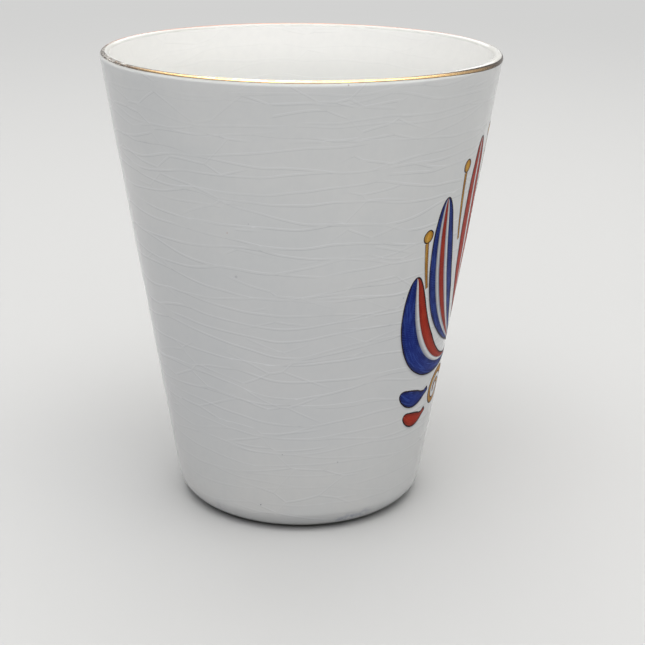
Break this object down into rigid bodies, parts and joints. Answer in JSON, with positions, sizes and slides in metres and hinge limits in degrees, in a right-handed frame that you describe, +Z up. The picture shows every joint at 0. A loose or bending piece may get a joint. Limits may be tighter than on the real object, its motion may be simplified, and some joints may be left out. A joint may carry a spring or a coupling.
{
  "type": "ceramic cup",
  "caption": "Tapered glazed beaker without a handle, with a rounded gilded lip, a curved heel, an unglazed foot ring and a printed ornament on its side.",
  "frame": {"origin": "middle of the foot, on the surface that the cup stands on", "axes": "+Z up along the cup's own axis to the mouth, +X out through the middle of the printed ornament"},
  "size_m": [0.0848, 0.0848, 0.1],
  "materials": {
    "biscuit_earthenware": "matte",
    "clear_glaze": "gloss",
    "gilding": "satin",
    "red_enamel": "gloss",
    "blue_enamel": "gloss",
    "ochre_enamel": "gloss",
    "umber_enamel": "gloss"
  },
  "bodies": {
    "root": {"boss": "ochre_enamel", "centre_petal_blue": "blue_enamel", "centre_petal_left_red": "red_enamel", "centre_petal_outline": "umber_enamel", "centre_petal_right_red": "red_enamel", "cup_body": "biscuit_earthenware", "glaze_coat": "clear_glaze", "glaze_underside": "clear_glaze", "inner_petal_left_lower_red": "red_enamel", "inner_petal_left_outline": "umber_enamel", "inner_petal_left_upper_red": "red_enamel", "inner_petal_right_lower_red": "red_enamel", "inner_petal_right_outline": "umber_enamel", "inner_petal_right_upper_red": "red_enamel", "lower_berry_left": "ochre_enamel", "lower_berry_right": "ochre_enamel", "lower_drop": "red_enamel", "lower_leaf_left_outline": "umber_enamel", "lower_leaf_left_red": "red_enamel", "lower_leaf_right_outline": "umber_enamel", "lower_leaf_right_red": "red_enamel", "lower_stem_left": "ochre_enamel", "lower_stem_right": "ochre_enamel", "middle_berry_left": "ochre_enamel", "middle_berry_right": "ochre_enamel", "middle_drop": "blue_enamel", "middle_petal_left_lower_blue": "blue_enamel", "middle_petal_left_outline": "umber_enamel", "middle_petal_left_red": "red_enamel", "middle_petal_left_upper_blue": "blue_enamel", "middle_petal_right_lower_blue": "blue_enamel", "middle_petal_right_outline": "umber_enamel", "middle_petal_right_red": "red_enamel", "middle_petal_right_upper_blue": "blue_enamel", "middle_stem_left": "ochre_enamel", "middle_stem_right": "ochre_enamel", "outer_petal_left_lower_blue": "blue_enamel", "outer_petal_left_outline": "umber_enamel", "outer_petal_left_upper_red": "red_enamel", "outer_petal_right_lower_blue": "blue_enamel", "outer_petal_right_outline": "umber_enamel", "outer_petal_right_upper_red": "red_enamel", "rim_gilding": "gilding", "scroll_left": "ochre_enamel", "scroll_right": "ochre_enamel", "upper_berry_left": "ochre_enamel", "upper_berry_right": "ochre_enamel", "upper_drop": "red_enamel", "upper_leaf_left_blue": "blue_enamel", "upper_leaf_left_outline": "umber_enamel", "upper_leaf_right_blue": "blue_enamel", "upper_leaf_right_outline": "umber_enamel", "upper_stem_left": "ochre_enamel", "upper_stem_right": "ochre_enamel"}
  },
  "joints": []
}
